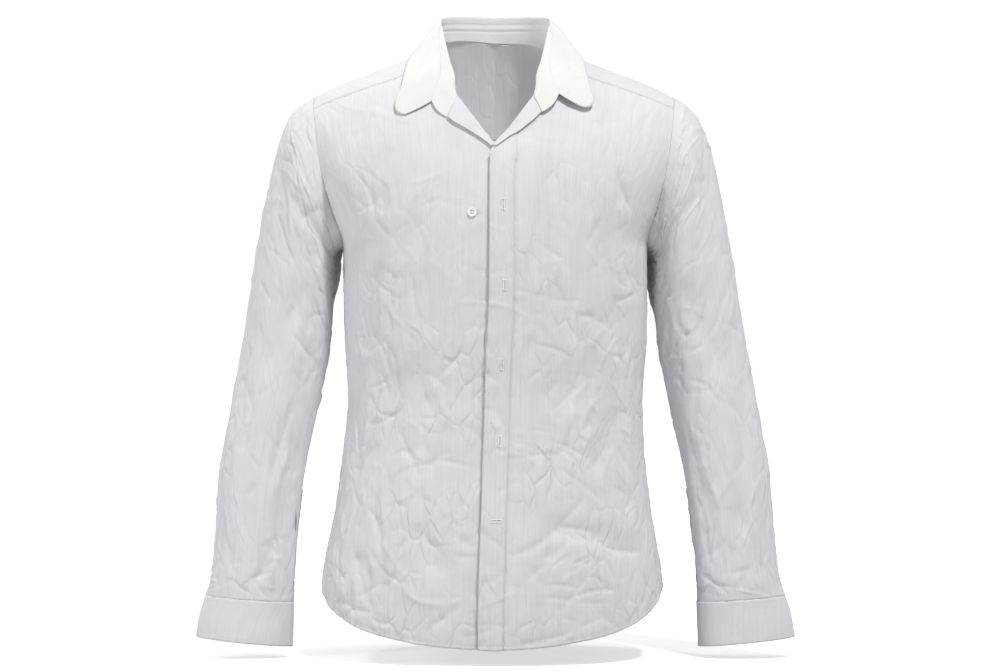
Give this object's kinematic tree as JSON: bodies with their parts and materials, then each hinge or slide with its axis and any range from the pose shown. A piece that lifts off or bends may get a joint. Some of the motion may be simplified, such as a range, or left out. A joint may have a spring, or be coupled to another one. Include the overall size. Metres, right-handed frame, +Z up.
{
  "type": "button-up shirt",
  "caption": "Slim long-sleeved button-up shirt, filled out as if worn, with an open neck, rounded collar, turned-out fronts, barrel cuffs and a curved hem.",
  "frame": {"origin": "middle of the neck opening, level with the high point of the shoulders, where the wearer's shoulders hold the shirt", "axes": "+Z up, -Y the way the front faces, +X the wearer's left"},
  "size_m": [0.7381, 0.2506, 0.7925],
  "materials": {
    "grey_cotton": "matt, finely striped weave, crumpled",
    "white_cotton": "matt, smooth and stiffened",
    "pearl_button": "satin pearl"
  },
  "bodies": {
    "root": {"front_left": "grey_cotton", "front_right": "grey_cotton", "placket": "grey_cotton", "back": "grey_cotton", "yoke": "grey_cotton", "collar_stand": "white_cotton", "collar_leaf": "white_cotton", "sleeve_left": "grey_cotton", "sleeve_right": "grey_cotton", "sleeve_placket_left": "grey_cotton", "sleeve_placket_right": "grey_cotton", "cuff_left": "grey_cotton", "cuff_right": "grey_cotton", "button_cuff_left": "pearl_button", "button_cuff_right": "pearl_button", "button_front_1": "pearl_button", "button_front_2": "pearl_button", "button_front_3": "pearl_button", "button_front_4": "pearl_button", "button_front_5": "pearl_button"}
  },
  "joints": []
}
